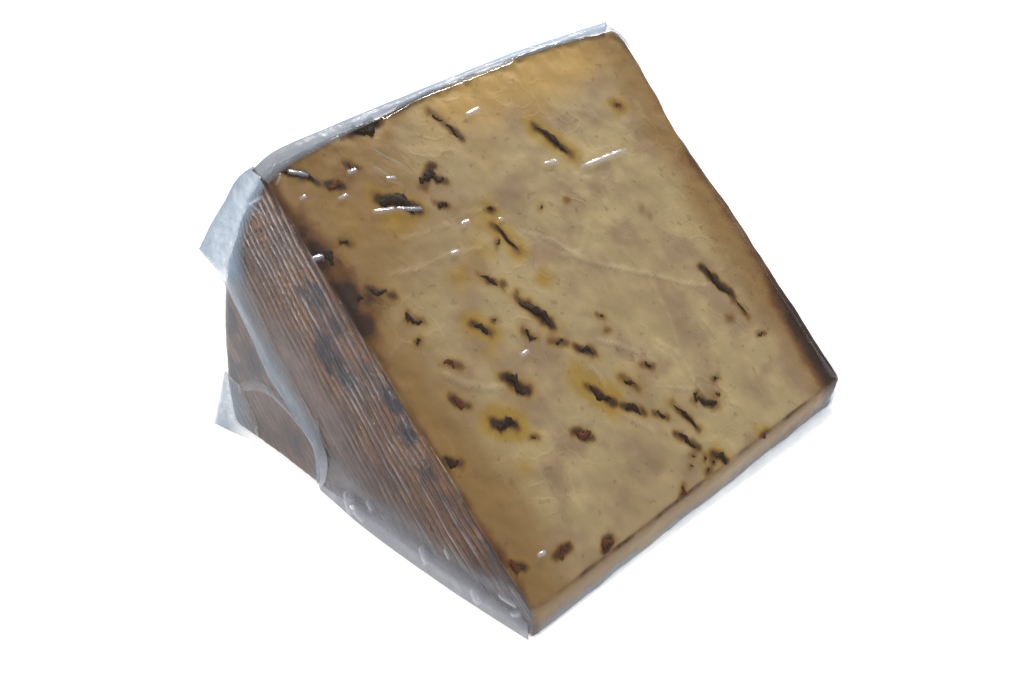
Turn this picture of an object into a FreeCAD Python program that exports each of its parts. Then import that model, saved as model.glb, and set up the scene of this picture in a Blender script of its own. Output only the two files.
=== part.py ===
"""Vacuum-packed wedge of a sheep's milk cheese, in millimetres.

The wedge is a sector of a flat cheese wheel. It lies on one of its two cut faces, so the wheel's axis
is level and runs along X. The other cut face slopes up and back from the blunt tip at low Y to the
rind at high Y. The wheel's two flat faces stand upright at the sides, and carry the rows of grooves
that draining boards leave. A clear film is drawn tight over everything. What the film adds to the
outline are its flattened seam and hems, a web and two ears where it gathers, and one standing fold.

The body is drawn with the foot of the tip at its own origin. Its Placement then puts the centre of
the underside at the origin of the document.
"""

import FreeCAD, Part
import os

import Sketcher

SIZES = {
    # the cheese
    "wheel_radius": 100.4,  # from the wheel's axis to its rind
    "wheel_height": 105.0,  # from one flat face of the wheel to the other
    "wedge_angle": 42.7,  # slope of the upper cut face, degrees
    "tip_thickness": 7.4,  # height of the upright tip, whose top edge is the wheel's axis
    "shoulder_radius": 5.0,  # round between the rind and each flat face
    "cut_edge_radius": 0.8,  # softened rim of the upper cut face
    # grooves from the draining boards
    "groove_angle": 45.5,  # slope of the grooves, degrees
    "groove_pitch": 2.4,
    "groove_width": 1.9,  # a groove is a shallow V
    "groove_depth": 0.6,
    # flattened film
    "film_fold": 0.9,  # thickness of a flattened fold
    "film_root": 3.0,  # how far a fold runs in over the cheese
    "film_sink": 0.3,  # how far a fold is let into the cheese
    "seam_reach": 3.0,  # seam behind the upper cut face, at the middle
    "seam_end_reach": 1.4,  # the same at the two ends
    "web_reach": 4.0,  # web beside the upper cut face, on the second flat face
    "web_length": 32.0,
    "web_point": 4.5,  # from the rind to the web's widest place
    "hem_near_reach": 0.6,  # hem in front of the tip, at the first flat face
    "hem_far_reach": 3.4,  # the same at the second flat face
    "hem_corner": 6.0,  # length of the hem's slanted far corner
    "side_hem_reach": 1.4,  # hem along the foot of the first flat face
    "side_hem_start": 6.0,
    "side_hem_end": 64.0,
    # gathered film
    "ear_reach": 5.0,  # ear that stands off the rind at the first flat face
    "ear_angle": 23.0,  # how far up the rind its point lies, degrees
    "ear_notch": 1.0,  # from the point down to the notch below it, degrees
    "foot_ear_reach": 4.2,  # ear on the table at the foot of the rind
    "foot_ear_length": 11.0,
    "foot_ear_height": 12.0,
    "fold_height": 2.4,  # fold that stands on the first flat face
    "fold_width": 3.6,
    "fold_head_inset": 4.0,  # its upper end, in from the rind beside the ear
    "fold_foot_up": 9.0,  # its lower end, up from the table
    "fold_angle": 49.6,  # its slope, degrees
    "fold_bow": 1.6,
}

# sections of the standing fold: share of its drop from the head, and size as a share of the head's
FOLD_SECTIONS = (("FoldHead", 0, 1), ("FoldMiddle", 0.5, 0.75), ("FoldTail", 1, 0.3))

HALF_HEIGHT = "Sizes.wheel_height / 2"
RADIUS = "Sizes.wheel_radius"
TIP = "Sizes.tip_thickness"
ROOT = "Sizes.film_root"
UNDERSIDE = f"sqrt({RADIUS} ^ 2 - {TIP} ^ 2)"  # length of the underside, tip to rind
FIRST_FACE = f"-{HALF_HEIGHT}"
ROOTED = f"({FIRST_FACE} + Sizes.groove_depth + Sizes.film_sink)"  # below the grooves' floor
NEAR = 0.01  # points closer than this are taken to meet

document = FreeCAD.newDocument("SealedWedge")

sheet = document.addObject("Spreadsheet::Sheet", "Sizes")
for row, (alias, size) in enumerate(SIZES.items(), start=1):
    sheet.set(f"A{row}", alias)
    sheet.set(f"B{row}", str(size))
    sheet.setAlias(f"B{row}", alias)
document.recompute()

body = document.addObject("PartDesign::Body", "SealedWedge")
body.Label = "sealed_wedge"


def value_of(expression):
    """Present value of an expression of the sheet's sizes."""
    return float(sheet.evalExpression(expression))


def point_of(corner):
    """Present place of a corner, which is a pair of expressions."""
    return FreeCAD.Vector(value_of(corner[0]), value_of(corner[1]), 0)


def on_rind(angle, beyond):
    """Corner in the side view at an angle up the rind, some way beyond it or, below zero, inside."""
    reach = f"({RADIUS} + {beyond})"
    return f"{reach} * cos({angle})", f"{TIP} + {reach} * sin({angle})"


# ---- sketches ----


def new_sketch(name, role, offset=None, tilt=None):
    """Sketch on an origin plane, moved by offset along its normal and tilted about its X axis."""
    sketch = body.newObject("Sketcher::SketchObject", name)
    plane = next(item for item in body.Origin.OriginFeatures if item.Role == role)
    sketch.AttachmentSupport = [(plane, "")]
    sketch.MapMode = "FlatFace"
    sketch.Visibility = False
    if tilt:
        turn = FreeCAD.Rotation(FreeCAD.Vector(1, 0, 0), 1)
        sketch.AttachmentOffset = FreeCAD.Placement(FreeCAD.Vector(), turn)
        sketch.setExpression("AttachmentOffset.Rotation.Angle", tilt)
    if offset:
        sketch.setExpression("AttachmentOffset.Base.z", offset)
    return sketch


def drive(sketch, constraint, expression):
    """Adds a constraint whose size follows an expression."""
    index = sketch.addConstraint(constraint)
    sketch.setExpression(f"Constraints[{index}]", expression)


def place(sketch, edge, end, corner):
    """Holds one end, or the centre, of an edge at a corner."""
    point = point_of(corner)
    drive(sketch, Sketcher.Constraint("DistanceX", -1, 1, edge, end, point.x), corner[0])
    drive(sketch, Sketcher.Constraint("DistanceY", -1, 1, edge, end, point.y), corner[1])


def draw_arc(sketch, first, last, bow):
    """Arc between two corners. A bow above zero swells to the right of its direction."""
    start = point_of(first)
    run = point_of(last) - start
    swell = FreeCAD.Vector(run.y, -run.x, 0).normalize() * value_of(bow)
    edge = sketch.addGeometry(Part.ArcOfCircle(start, start + run / 2 + swell, start + run))
    run_squared = f"((({last[0]}) - ({first[0]})) ^ 2 + (({last[1]}) - ({first[1]})) ^ 2)"
    radius = f"{run_squared} / (8 * abs({bow})) + abs({bow}) / 2"
    drive(sketch, Sketcher.Constraint("Radius", edge, value_of(radius)), radius)


def draw_outline(sketch, corners, bows=None):
    """Closed outline through the corners, in turn.

    bows maps the number of each edge that is an arc to the height of its bow. A bow swells to the
    right of the edge's direction, which is outwards where the corners run anticlockwise.
    """
    bows = bows or {}
    ends = []  # each edge's number, and which of its ends, 1 or 2, comes first in turn
    for number, corner in enumerate(corners):
        following = corners[(number + 1) % len(corners)]
        edge = sketch.GeometryCount
        if number in bows:
            draw_arc(sketch, corner, following, bows[number])
        else:
            sketch.addGeometry(Part.LineSegment(point_of(corner), point_of(following)))
        in_turn = sketch.getPoint(edge, 1).distanceToPoint(point_of(corner)) < NEAR
        ends.append((edge, 1 if in_turn else 2))
    for number, corner in enumerate(corners):
        edge, first = ends[number]
        before, before_first = ends[number - 1]
        place(sketch, edge, first, corner)
        sketch.addConstraint(Sketcher.Constraint("Coincident", before, 3 - before_first, edge, first))


# ---- features ----


def add_pad(name, sketch, length, symmetric=False):
    """Pad of a sketch along its normal, or to both sides of it."""
    feature = body.newObject("PartDesign::Pad", name)
    feature.Profile = sketch
    feature.SideType = "Symmetric" if symmetric else "One side"
    feature.setExpression("Length", length)
    document.recompute()
    return feature


def add_fillet(name, base, radius, on_edge):
    """Fillet of the base feature's edges on which every sampled point passes the test."""
    names = []
    for number, edge in enumerate(base.Shape.Edges, start=1):
        if all(on_edge(point) for point in edge.discretize(5)):
            names.append(f"Edge{number}")
    feature = body.newObject("PartDesign::Fillet", name)
    feature.Base = (base, names)
    feature.setExpression("Radius", radius)
    document.recompute()
    return feature


# ---- the cheese ----


def make_sector():
    """Sector of the wheel, padded to both sides of its middle."""
    profile = new_sketch("SectorProfile", "YZ_Plane")
    foot = FreeCAD.Vector(value_of(UNDERSIDE), 0, 0)
    axis = FreeCAD.Vector(0, value_of(TIP), 0)
    crest = point_of(on_rind("Sizes.wedge_angle", 0))
    middle = axis + FreeCAD.Vector(value_of(RADIUS), 0, 0)
    underside = profile.addGeometry(Part.LineSegment(FreeCAD.Vector(), foot))
    rind = profile.addGeometry(Part.ArcOfCircle(foot, middle, crest))
    cut = profile.addGeometry(Part.LineSegment(crest, axis))
    front = profile.addGeometry(Part.LineSegment(axis, FreeCAD.Vector()))
    for meeting in (
        (underside, 1, -1, 1),
        (underside, 2, rind, 1),
        (rind, 2, cut, 1),
        (rind, 3, cut, 2),
        (cut, 2, front, 1),
        (front, 2, underside, 1),
    ):
        profile.addConstraint(Sketcher.Constraint("Coincident", *meeting))
    profile.addConstraint(Sketcher.Constraint("Horizontal", underside))
    profile.addConstraint(Sketcher.Constraint("Vertical", front))
    drive(profile, Sketcher.Constraint("Radius", rind, value_of(RADIUS)), RADIUS)
    drive(profile, Sketcher.Constraint("DistanceY", -1, 1, cut, 2, value_of(TIP)), TIP)
    crest_height = on_rind("Sizes.wedge_angle", 0)[1]
    drive(profile, Sketcher.Constraint("DistanceY", -1, 1, cut, 1, crest.y), crest_height)
    return add_pad("WheelSector", profile, "Sizes.wheel_height", symmetric=True)


def round_cheese(sector):
    """Round shoulders along the rind's two arcs, and a soft rim on the upper cut face."""
    half = value_of(HALF_HEIGHT)
    radius = value_of(RADIUS)
    tip = value_of(TIP)
    slope = value_of("tan(Sizes.wedge_angle)")

    def on_shoulder(point):
        from_axis = FreeCAD.Vector(0, point.y, point.z - tip).Length
        return abs(abs(point.x) - half) < NEAR and abs(from_axis - radius) < NEAR

    def on_cut_rim(point):
        return abs(point.z - tip - slope * point.y) < NEAR

    shoulders = add_fillet("RindShoulders", sector, "Sizes.shoulder_radius", on_shoulder)
    add_fillet("CutRim", shoulders, "Sizes.cut_edge_radius", on_cut_rim)


def press_grooves():
    """Parallel grooves down both flat faces, from the upper cut face to the foot of the rind."""
    section = new_sketch("GrooveSection", "XZ_Plane", tilt="Sizes.groove_angle")
    document.recompute()
    top_row = f"{TIP} * cos(Sizes.groove_angle) - Sizes.groove_pitch"
    for side in ("-", ""):
        floor = (f"{side}({HALF_HEIGHT} - Sizes.groove_depth)", top_row)
        lips = [
            (f"{side}({HALF_HEIGHT} + Sizes.groove_depth)", f"{top_row} {turn} Sizes.groove_width")
            for turn in ("-", "+")
        ]
        draw_outline(section, [floor, *lips])
    groove = body.newObject("PartDesign::Pocket", "BoardGroove")
    groove.Profile = section
    groove.Type = "ThroughAll"
    groove.SideType = "Symmetric"
    document.recompute()
    rows = body.newObject("PartDesign::LinearPattern", "BoardGrooves")
    rows.Originals = [groove]
    rows.Direction = (section, ["V_Axis"])
    rows.Reversed = True
    rows.Mode = "Spacing"
    rows.setExpression("Offset", "Sizes.groove_pitch")
    span = f"({top_row} + {UNDERSIDE} * sin(Sizes.groove_angle))"
    rows.setExpression("Occurrences", f"floor({span} / Sizes.groove_pitch)")
    body.Tip = rows
    document.recompute()


# ---- the film ----


def cut_plane_sketch(name):
    """Sketch on a plane just under the upper cut face: x across, y up the slope."""
    sketch = new_sketch(name, "XY_Plane", tilt="Sizes.wedge_angle")
    below = "(Sizes.film_fold + Sizes.film_sink)"
    sketch.setExpression("AttachmentOffset.Base.y", f"{below} * sin(Sizes.wedge_angle)")
    sketch.setExpression("AttachmentOffset.Base.z", f"{TIP} - {below} * cos(Sizes.wedge_angle)")
    return sketch


def add_rear_seam():
    """Seam behind the upper cut face, widest at the middle."""
    sketch = cut_plane_sketch("SeamOutline")
    end = f"({HALF_HEIGHT} - Sizes.cut_edge_radius)"
    inner = f"{RADIUS} - {ROOT}"
    outer = f"{RADIUS} + Sizes.seam_end_reach"
    corners = [(f"-{end}", inner), (end, inner), (end, outer), (f"-{end}", outer)]
    draw_outline(sketch, corners, {2: "Sizes.seam_reach - Sizes.seam_end_reach"})
    add_pad("RearSeam", sketch, "Sizes.film_fold")


def add_corner_web():
    """Narrow web beside the upper cut face, widest near the rind."""
    sketch = cut_plane_sketch("WebOutline")
    inner = f"{HALF_HEIGHT} - {ROOT}"
    corners = [
        (inner, f"{RADIUS} - Sizes.web_length"),
        (f"{HALF_HEIGHT} + Sizes.web_reach", f"{RADIUS} - Sizes.web_point"),
        (f"{HALF_HEIGHT} + Sizes.web_reach / 2", f"{RADIUS} + Sizes.seam_end_reach"),
        (inner, f"{RADIUS} + Sizes.seam_end_reach"),
    ]
    draw_outline(sketch, corners)
    add_pad("CornerWeb", sketch, "Sizes.film_fold")


def add_rind_ear():
    """Flat ear in the plane of the first flat face: from the upper corner out to its point and in."""
    sketch = new_sketch("EarOutline", "YZ_Plane", offset=FIRST_FACE)
    corners = [
        on_rind("Sizes.wedge_angle - Sizes.ear_notch", f"-{ROOT}"),
        on_rind("Sizes.ear_angle - 3 * Sizes.ear_notch", f"-2 * {ROOT}"),
        on_rind("Sizes.ear_angle - Sizes.ear_notch", "-Sizes.film_fold"),
        on_rind("Sizes.ear_angle", "Sizes.ear_reach"),
        on_rind("Sizes.wedge_angle - Sizes.ear_notch", "0"),
    ]
    draw_outline(sketch, corners)
    add_pad("RindEar", sketch, "Sizes.film_fold")


def add_foot_ear():
    """Ear at the foot of the rind: a small tent that rises from the table to the rind's corner."""
    shoulder = f"{FIRST_FACE} + Sizes.shoulder_radius"
    base = new_sketch("FootEarBase", "XY_Plane")
    draw_outline(
        base,
        [
            (shoulder, f"{UNDERSIDE} - Sizes.foot_ear_length"),
            (shoulder, f"{UNDERSIDE} - Sizes.film_fold"),
            (f"{FIRST_FACE} - Sizes.foot_ear_reach", f"{UNDERSIDE} + Sizes.film_fold"),
        ],
    )
    top = new_sketch("FootEarTop", "XY_Plane", offset="Sizes.foot_ear_height")
    draw_outline(
        top,
        [
            (shoulder, f"{UNDERSIDE} - 3 * Sizes.film_fold"),
            (shoulder, f"{UNDERSIDE} - Sizes.film_fold"),
            (f"{FIRST_FACE} + Sizes.film_fold", f"{UNDERSIDE} - 2 * Sizes.film_fold"),
        ],
    )
    feature = body.newObject("PartDesign::AdditiveLoft", "FootEar")
    feature.Profile = base
    feature.Sections = [top]
    feature.Ruled = True
    document.recompute()


def add_hems():
    """Hem on the table in front of the tip, wider towards the second flat face, and a side hem."""
    front = new_sketch("FrontHemOutline", "XY_Plane")
    corners = [
        (ROOTED, "-Sizes.hem_near_reach"),
        (f"{HALF_HEIGHT} - Sizes.hem_corner", "-Sizes.hem_far_reach"),
        (f"{HALF_HEIGHT} + Sizes.hem_near_reach", "-Sizes.hem_near_reach"),
        (f"{HALF_HEIGHT} - Sizes.hem_corner", ROOT),
        (f"{FIRST_FACE} + Sizes.hem_corner", ROOT),
    ]
    draw_outline(front, corners)
    add_pad("FrontHem", front, "Sizes.film_fold")
    side = new_sketch("SideHemOutline", "XY_Plane")
    corners = [
        (ROOTED, "Sizes.side_hem_end"),
        (ROOTED, "Sizes.side_hem_start"),
        (f"{ROOTED} + {ROOT}", "(Sizes.side_hem_start + Sizes.side_hem_end) / 2"),
    ]
    bow = "Sizes.side_hem_reach + Sizes.groove_depth + Sizes.film_sink"
    draw_outline(side, corners, {0: bow})
    add_pad("SideHem", side, "Sizes.film_fold")


def add_standing_fold():
    """Fold like a long tent, which runs down the first flat face from beside the ear and dies away."""
    head_along, head_up = on_rind("Sizes.ear_angle - 2 * Sizes.ear_notch", "-Sizes.fold_head_inset")
    drop = f"({head_up} - Sizes.fold_foot_up)"
    sections = []
    for name, share, size in FOLD_SECTIONS:
        section = new_sketch(name, "XZ_Plane", tilt="Sizes.fold_angle")
        section.setExpression("AttachmentOffset.Base.y", f"{head_up} - {share} * {drop}")
        along = f"{head_along} - {share} * {drop} / tan(Sizes.fold_angle)"
        section.setExpression("AttachmentOffset.Base.z", f"-({along})")
        bow = f"{4 * share * (1 - share)} * Sizes.fold_bow"
        half_width = f"{size} * Sizes.fold_width / 2"
        ridge = (f"{FIRST_FACE} - {size} * Sizes.fold_height", bow)
        corners = [ridge, (ROOTED, f"{bow} - {half_width}"), (ROOTED, f"{bow} + {half_width}")]
        draw_outline(section, corners)
        sections.append(section)
    document.recompute()
    feature = body.newObject("PartDesign::AdditiveLoft", "StandingFold")
    feature.Profile = sections[0]
    feature.Sections = sections[1:]
    document.recompute()


def export(item):
    """Checks the whole document, then writes one body to a file named after its label."""
    for each in document.Objects:
        if {"Invalid", "Error"} & set(each.State):
            raise RuntimeError(f"{each.Name} failed: {each.State}")
    if item.Shape.isNull() or not item.Shape.isValid() or len(item.Shape.Solids) != 1:
        raise RuntimeError(f"{item.Label} is not one valid solid")
    os.makedirs("parts", exist_ok=True)
    item.Shape.exportStep(f"parts/{item.Label}.step")
    print(f"{item.Label}: {item.Shape.Volume / 1000:.1f} cm3, {len(item.Shape.Faces)} faces")


make_sector()
round_cheese(body.Tip)
press_grooves()
add_rear_seam()
add_corner_web()
add_rind_ear()
add_foot_ear()
add_hems()
add_standing_fold()
body.setExpression("Placement.Base.y", f"-{UNDERSIDE} / 2")
document.recompute()
export(body)
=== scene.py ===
import math

import bmesh
import bpy
import numpy as np
from mathutils import Matrix, Vector, noise


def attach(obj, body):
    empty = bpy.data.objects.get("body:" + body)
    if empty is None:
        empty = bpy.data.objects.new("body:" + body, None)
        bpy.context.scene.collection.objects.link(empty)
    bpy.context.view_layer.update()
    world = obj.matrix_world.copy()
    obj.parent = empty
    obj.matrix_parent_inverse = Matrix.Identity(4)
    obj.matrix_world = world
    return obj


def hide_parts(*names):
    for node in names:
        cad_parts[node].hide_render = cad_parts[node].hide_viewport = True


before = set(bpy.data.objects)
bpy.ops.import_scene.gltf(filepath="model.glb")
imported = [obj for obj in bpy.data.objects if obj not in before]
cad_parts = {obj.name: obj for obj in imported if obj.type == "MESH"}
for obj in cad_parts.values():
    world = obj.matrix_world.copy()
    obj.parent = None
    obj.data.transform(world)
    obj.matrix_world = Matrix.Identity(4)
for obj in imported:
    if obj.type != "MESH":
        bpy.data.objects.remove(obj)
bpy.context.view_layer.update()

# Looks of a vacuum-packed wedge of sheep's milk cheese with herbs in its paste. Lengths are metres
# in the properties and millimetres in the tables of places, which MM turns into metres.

bl_info = {
    "name": "Sealed Herb Cheese Wedge",
    "version": (1, 0, 0),
    "blender": (4, 5, 0),
    "location": "View3D > Sidebar > Cheese",
    "description": "Builds a vacuum-packed wedge of sheep's milk cheese with herbs",
    "category": "Object",
}

MM = 0.001
NODE = "sealed_wedge"
CHEESE_CUTS = (150, 150, 84)  # cuts of the cheese across, along and up
FILM_CUTS = (110, 110, 90)
SETTLE_STEPS = 6
CRUMPLE_SEED = 7  # of the noise that crumples the gathered film
SWELL, SWELL_SIZE = 0.22, 18  # slow swell of the cheese and film, and the size of its lumps
FILM_SLACK = 0.12  # how much further out the film swells
ROW_SIZE = 0.0012  # how far apart the streaks of two ribs are in a pattern
BUMP = 0.0008  # height of the film's smallest waves
RIDGE_COLUMNS, RIDGE_ROWS = 18, 10
RIDGE_WALL = 0.02

# numbers kept at each place of a film: milkiness, shine and tone
# tone is 0 for milky blue, 1 for grey and 2 for film painted pale, a painted highlight where it
# catches the light
FILM_MASKS = ("haze", "shine", "tone")

# ---- places of the small things, in mm ----
# On the upper cut face a place is (across, up): across from the first flat face, up the slope from
# the wheel's axis. On the first flat face it is (along, height): along from the foot of the tip.

# dark leaves: both ends, width, brown stain around it, yellow halo around it
NEEDLES = (
    ((4.2, 99.6), (10.4, 93.2), 2.1, 0.9, 0.0),
    ((67.3, 86.2), (72.6, 76.4), 1.8, 0.5, 0.8),
    ((42.4, 70.2), (44.7, 62.3), 1.0, 0.4, 0.8),
    ((7.0, 69.6), (11.2, 66.3), 1.6, 0.7, 0.0),
    ((37.4, 53.8), (41.6, 44.2), 2.6, 1.0, 0.3),
    ((32.0, 61.6), (35.6, 57.3), 1.3, 0.8, 0.2),
    ((88.0, 39.2), (91.8, 29.0), 2.2, 1.0, 0.0),
    ((91.8, 29.0), (92.2, 23.6), 0.6, 0.5, 0.0),
    ((58.0, 17.2), (60.6, 8.8), 1.3, 0.7, 0.2),
    ((54.4, 11.2), (57.6, 5.8), 1.6, 0.6, 0.0),
    ((40.6, 30.2), (44.2, 24.3), 2.2, 0.8, 1.0),
    ((16.0, 33.8), (20.0, 31.4), 2.6, 1.0, 1.0),
    ((60.6, 2.6), (62.6, -0.6), 2.4, 0.8, 0.5),
)

# dark flakes: centre, length, width, turn in degrees, brown stain, yellow halo
FLAKES = (
    ((27.4, 100.2), 7.0, 3.4, 5, 1.0, 0.0),
    ((28.2, 100.6), 4.6, 2.6, -10, 1.0, 0.0),
    ((24.2, 82.6), 8.6, 3.8, -38, 0.9, 0.5),
    ((34.2, 85.2), 5.4, 2.4, 32, 0.8, 0.0),
    ((36.4, 84.0), 3.2, 1.8, -50, 0.6, 0.0),
    ((33.8, 78.4), 2.7, 1.5, -40, 0.6, 0.0),
    ((3.2, 78.6), 4.6, 2.4, -65, 1.2, 0.0),
    ((12.4, 59.6), 4.2, 1.5, -30, 0.3, 0.0),
    ((11.6, 60.8), 2.4, 1.1, 55, 0.3, 0.0),
    ((10.7, 55.6), 1.5, 1.1, 0, 0.3, 0.0),
    ((25.4, 51.6), 4.0, 1.7, -52, 0.7, 0.8),
    ((35.0, 45.4), 3.6, 1.6, -58, 0.5, 0.1),
    ((40.0, 41.4), 3.4, 1.9, -35, 0.5, 0.1),
    ((45.5, 36.6), 4.4, 1.6, -45, 0.8, 0.2),
    ((25.4, 38.2), 5.6, 3.0, -55, 0.9, 0.3),
    ((2.6, 31.8), 3.4, 2.4, -40, 0.9, 0.0),
    ((51.0, 25.8), 3.6, 1.7, -60, 0.5, 0.3),
    ((47.8, 20.8), 4.6, 2.3, -40, 0.8, 0.2),
    ((53.5, 16.4), 3.0, 1.4, -45, 0.6, 0.1),
    ((67.0, 13.0), 5.8, 1.9, -46, 0.5, 0.0),
    ((64.9, 15.2), 2.6, 1.2, 30, 0.4, 0.0),
    ((73.0, 16.0), 1.6, 1.0, 0, 0.3, 0.0),
    ((71.0, 13.0), 1.3, 0.9, 0, 0.3, 0.0),
    ((76.0, -0.8), 1.8, 1.0, 10, 0.3, 0.5),
    ((44.0, 73.3), 1.8, 1.0, -40, 0.5, 0.5),
    ((46.6, 92.2), 4.2, 1.4, -70, 0.8, 0.0),
    ((44.9, 96.0), 3.0, 0.9, -50, 0.5, 0.0),
    ((8.2, 80.0), 2.2, 1.1, -50, 0.6, 0.0),
    ((4.5, 68.5), 1.8, 1.1, 0, 0.6, 0.0),
    ((58.0, 27.0), 2.0, 1.0, -45, 0.5, 0.0),
    ((92.5, 18.5), 1.9, 1.1, -10, 0.7, 0.0),
    ((54.0, 41.3), 1.7, 1.0, -40, 0.4, 0.0),
    ((53.5, 38.0), 1.0, 0.8, 0, 0.3, 0.0),
    ((29.3, 52.0), 1.0, 0.7, 0, 0.3, 0.0),
    ((56.5, 68.7), 0.9, 0.7, 0, 0.2, 0.0),
    ((64.0, 67.2), 0.8, 0.6, 0, 0.2, 0.0),
    ((55.0, 5.0), 0.9, 0.7, 0, 0.3, 0.0),
    ((57.4, 3.2), 1.2, 0.8, 40, 0.4, 0.3),
    ((56.6, 0.8), 1.0, 0.7, 0, 0.4, 0.3),
    ((59.0, 1.4), 1.0, 0.8, -30, 0.4, 0.3),
    ((53.2, 3.6), 0.8, 0.6, 0, 0.3, 0.0),
    ((41.0, 66.0), 1.8, 0.7, 20, 0.3, 0.2),
)

# red-brown bits: centre, length, width, turn, brown stain, yellow halo
RED_BITS = (
    ((19.6, 93.4), 2.5, 1.7, -40, 0.9, 0.0),
    ((13.4, 91.2), 3.4, 2.0, -30, 0.9, 0.0),
    ((14.2, 48.6), 3.0, 1.6, -50, 0.5, 0.0),
    ((11.2, 41.0), 3.6, 1.8, -50, 0.8, 0.0),
    ((33.0, 22.3), 4.4, 2.2, -40, 0.8, 0.0),
    ((13.3, 5.2), 3.2, 2.6, 0, 0.8, 0.0),
    ((23.5, 1.2), 3.4, 2.3, 20, 0.9, 0.0),
    ((2.4, 8.4), 2.8, 2.2, -40, 1.0, 0.0),
    ((47.5, 0.4), 2.2, 1.3, 20, 0.7, 0.1),
    ((93.5, 82.3), 2.0, 1.2, 0, 0.4, 0.6),
    ((22.0, 27.2), 1.1, 0.8, 0, 0.5, 0.3),
)

# soft stains with nothing hard in them: centre, radius, brown, yellow
STAINS = (
    ((2.6, 79.0), 6.0, 1.0, 0.0),
    ((3.4, 73.0), 4.6, 0.85, 0.0),
    ((6.0, 67.5), 6.0, 0.85, 0.0),
    ((1.5, 61.0), 4.0, 0.6, 0.0),
    ((16.5, 92.0), 5.5, 0.45, 0.0),
    ((13.0, 97.5), 5.0, 0.45, 0.3),
    ((31.0, 96.0), 6.0, 0.30, 0.0),
    ((28.0, 63.0), 4.4, 0.1, 0.8),
    ((46.5, 54.5), 3.6, 0.1, 0.9),
    ((40.0, 33.5), 5.4, 0.0, 0.8),
    ((93.5, 82.3), 4.2, 0.5, 0.9),
    ((73.0, 66.0), 3.0, 0.25, 0.0),
    ((81.6, 58.0), 2.6, 0.45, 0.0),
    ((82.6, 54.8), 2.0, 0.40, 0.0),
    ((87.0, 25.6), 2.8, 0.55, 0.35),
    ((12.0, 84.5), 9.0, 0.0, 0.35),
    ((22.0, 79.5), 6.0, 0.2, 0.9),
    ((75.0, 1.5), 2.4, 0.0, 0.7),
    ((16.5, 23.0), 3.4, 0.0, 0.6),
    ((40.5, 88.0), 5.0, 0.15, 0.2),
    ((36.0, 66.0), 6.0, 0.1, 0.6),
    ((41.0, 72.0), 6.0, 0.0, 0.7),
    ((52.0, 25.0), 6.0, 0.1, 0.5),
    ((50.0, 84.0), 7.0, 0.0, 0.3),
    ((24.0, 47.0), 5.0, 0.0, 0.5),
    ((70.0, 82.5), 5.0, 0.0, 0.6),
    ((60.0, 12.0), 5.0, 0.15, 0.1),
)

# short folds of the film that catch the light: ends on the upper cut face, width, height
GLINTS = (
    ((72.0, 72.6), (88.0, 71.8), 1.9, 0.41),
    ((63.3, 76.9), (67.6, 76.4), 1.6, 0.36),
    ((51.5, 94.0), (56.5, 94.4), 1.6, 0.36),
    ((17.2, 92.3), (19.8, 92.3), 1.4, 0.31),
    ((12.0, 88.2), (14.8, 88.3), 1.3, 0.29),
    ((4.4, 91.2), (6.2, 91.4), 1.2, 0.29),
    ((24.6, 88.2), (27.0, 87.6), 1.2, 0.29),
    ((34.8, 72.8), (37.4, 72.8), 1.3, 0.29),
    ((28.2, 68.2), (30.8, 68.0), 1.3, 0.29),
    ((29.6, 42.8), (32.4, 42.9), 1.3, 0.31),
    ((7.4, 7.5), (9.8, 7.4), 1.4, 0.34),
    ((5.4, 97.4), (9.2, 95.0), 1.4, 0.31),
    ((-0.6, 79.3), (2.4, 79.0), 1.6, 0.34),
    ((17.4, 83.0), (22.8, 81.6), 1.4, 0.34),
    ((22.6, 81.6), (28.6, 79.2), 1.4, 0.34),
    ((44.0, 70.4), (45.2, 70.0), 1.2, 0.26),
)

# pale seams between the curds: points, half width, strength
CURD_SEAMS = (
    (
        ((49, 65), (54, 61), (58, 54.5), (64, 50), (69, 46.5), (74, 43), (82, 37), (86, 35)),
        0.8, 0.9,
    ),
    (((50, 37), (54, 34), (58, 30), (60, 27)), 0.8, 0.8),
    (((64, 30), (67, 26), (67.3, 21), (66.5, 17)), 0.7, 0.7),
    (((12, 47), (15, 43.5), (18, 41), (22, 39.2)), 0.9, 0.9),
    (((44, 22), (47, 18), (49, 14.5)), 0.7, 0.7),
    (((20, 75.5), (30, 74), (38, 74.5), (46, 73)), 0.7, 0.5),
    (((13, 70), (20, 68.4), (28, 68.4), (36, 66.5)), 0.7, 0.5),
    (((22, 28), (27, 25), (31, 24)), 0.6, 0.5),
    (((54, 57), (60, 56), (66, 61)), 0.7, 0.5),
    (((70, 52), (72, 44), (71, 33), (68, 26)), 0.7, 0.4),
    (((44, 33), (45, 30.5), (44.5, 28)), 0.6, 0.7),
    (((60, 20), (66, 16.5), (64, 13.5)), 0.6, 0.6),
    (((76, 88), (84, 84), (88, 78)), 0.8, 0.4),
)

# wrinkles of the film near the rind: ends on the upper cut face, width, height
WRINKLES = (
    ((23.5, 92.0), (26.5, 87.0), 0.8, 0.20),
    ((27.0, 93.0), (30.5, 89.0), 0.8, 0.20),
    ((25.5, 95.5), (28.0, 91.5), 0.7, 0.16),
    ((0.6, 98.0), (4.0, 99.6), 1.0, 0.30),
    ((1.5, 95.5), (3.8, 97.5), 0.8, 0.25),
)

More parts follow.
